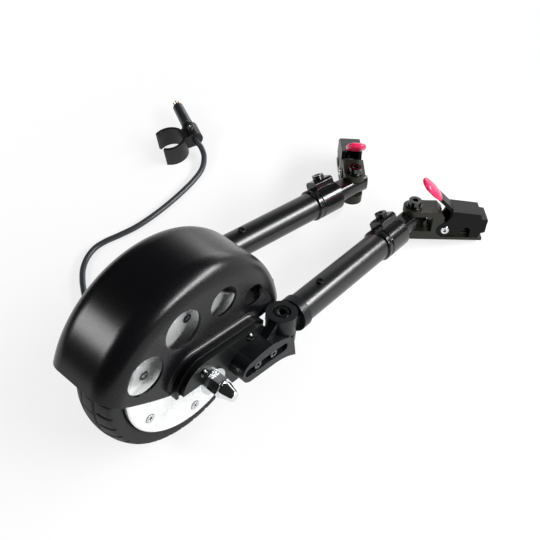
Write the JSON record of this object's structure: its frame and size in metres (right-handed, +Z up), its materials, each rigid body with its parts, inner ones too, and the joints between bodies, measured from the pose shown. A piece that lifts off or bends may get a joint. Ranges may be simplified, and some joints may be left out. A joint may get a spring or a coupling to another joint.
{
  "type": "wheelchair power assist",
  "caption": "Add-on drive for a manual wheelchair: a hub-motor wheel under a moulded fender, with two telescopic arms that end in swivelling latches with sprung jaws.",
  "frame": {"origin": "on the floor under the middle of the box of the device without its free cable", "axes": "+X forward towards the latches, +Y to the device's left, +Z up"},
  "size_m": [0.4836, 0.4507, 0.2167],
  "materials": {
    "tyre_rubber": "matte",
    "polished_cover": "polished",
    "cast_shell": "satin",
    "plated_steel": "bright",
    "bearing_steel": "bright",
    "magnet": "satin",
    "laminations": "satin",
    "copper": "satin",
    "fender_plastic": "fine grain",
    "black_screw": "black oxide",
    "black_plate": "satin",
    "grey_bracket": "satin",
    "black_tube": "gloss anodised",
    "black_latch": "satin",
    "grip_plastic": "dipped",
    "cable_rubber": "matte",
    "plug_plastic": "satin",
    "pin_brass": "bright"
  },
  "bodies": {
    "frame": {"stator": "laminations", "stator_coils": "copper", "axle": "plated_steel", "axle_spacers": "plated_steel", "axle_washers": "plated_steel", "axle_nuts": "plated_steel", "fender": "fender_plastic", "fender_screws": "black_screw", "right_fork_plate": "black_plate", "left_fork_plate": "black_plate", "bracket_bolts": "black_screw", "cable_gland": "cable_rubber", "motor_cable": "cable_rubber", "plug_body": "plug_plastic", "plug_pins": "pin_brass", "cable_clip": "plug_plastic", "clip_screw": "plated_steel"},
    "wheel": {"tyre": "tyre_rubber", "hub_shell": "cast_shell", "right_hub_cover": "polished_cover", "left_hub_cover": "polished_cover", "hub_cover_screws": "plated_steel", "hub_bearings": "bearing_steel", "rotor_magnets": "magnet"},
    "left_bracket_group": {"left_bracket": "grey_bracket", "left_pivot_bolt": "black_screw"},
    "left_arm": {"left_knuckle": "grey_bracket", "left_outer_tube": "black_tube", "left_tube_screw": "black_screw", "left_lock_collar": "black_latch", "left_lock_bolt": "black_screw"},
    "left_slider": {"left_sliding_bar": "black_tube"},
    "left_latch": {"left_latch_body": "black_latch", "left_swivel_bolt": "black_screw", "left_jaw_pin": "plated_steel", "left_jaw_spring": "bearing_steel"},
    "left_jaw_group": {"left_jaw": "black_latch", "left_grip": "grip_plastic"},
    "right_bracket_group": {"right_bracket": "grey_bracket", "right_pivot_bolt": "black_screw"},
    "right_arm": {"right_knuckle": "grey_bracket", "right_outer_tube": "black_tube", "right_tube_screw": "black_screw", "right_lock_collar": "black_latch", "right_lock_bolt": "black_screw"},
    "right_slider": {"right_sliding_bar": "black_tube"},
    "right_latch": {"right_latch_body": "black_latch", "right_swivel_bolt": "black_screw", "right_jaw_pin": "plated_steel", "right_jaw_spring": "bearing_steel"},
    "right_jaw_group": {"right_jaw": "black_latch", "right_grip": "grip_plastic"}
  },
  "joints": [
    {"name": "wheel_spin", "type": "hinge", "parent": "frame", "child": "wheel", "pos_m": [-0.14132, 0, 0.1], "axis": [0, 1, 0], "continuous": true},
    {"name": "left_bracket_slide", "type": "slide", "parent": "frame", "child": "left_bracket_group", "axis": [0.9701, 0, -0.2428], "range_m": [-0.0015, 0.012]},
    {"name": "left_arm_yaw", "type": "hinge", "parent": "left_bracket_group", "child": "left_arm", "pos_m": [-0.05146, 0.059, 0.09245], "axis": [0.2428, 0, 0.9701], "range_deg": [-3, 16]},
    {"name": "left_arm_extend", "type": "slide", "parent": "left_arm", "child": "left_slider", "axis": [0.9677, -0.0698, -0.2423], "range_m": [-0.012, 0.04]},
    {"name": "left_latch_swivel", "type": "hinge", "parent": "left_slider", "child": "left_latch", "pos_m": [0.1745, 0.04271, 0.03589], "axis": [0.2428, 0, 0.9701], "range_deg": [-45, 40]},
    {"name": "left_jaw_open", "type": "hinge", "parent": "left_latch", "child": "left_jaw_group", "pos_m": [0.19792, 0.06772, 0.02281], "axis": [0.6739, -0.7193, -0.1687], "range_deg": [0, 18], "stiffness_Nm_per_rad": 0.6, "springref_deg": -22.92},
    {"name": "right_bracket_slide", "type": "slide", "parent": "frame", "child": "right_bracket_group", "axis": [0.9701, 0, -0.2428], "range_m": [-0.0015, 0.012]},
    {"name": "right_arm_yaw", "type": "hinge", "parent": "right_bracket_group", "child": "right_arm", "pos_m": [-0.05146, -0.059, 0.09245], "axis": [-0.2428, 0, -0.9701], "range_deg": [-3, 16]},
    {"name": "right_arm_extend", "type": "slide", "parent": "right_arm", "child": "right_slider", "axis": [0.9677, 0.0698, -0.2423], "range_m": [-0.012, 0.04]},
    {"name": "right_latch_swivel", "type": "hinge", "parent": "right_slider", "child": "right_latch", "pos_m": [0.1745, -0.04271, 0.03589], "axis": [-0.2428, 0, -0.9701], "range_deg": [-45, 40]},
    {"name": "right_jaw_open", "type": "hinge", "parent": "right_latch", "child": "right_jaw_group", "pos_m": [0.19792, -0.06772, 0.02281], "axis": [-0.6739, -0.7193, 0.1687], "range_deg": [0, 18], "stiffness_Nm_per_rad": 0.6, "springref_deg": -22.92}
  ]
}
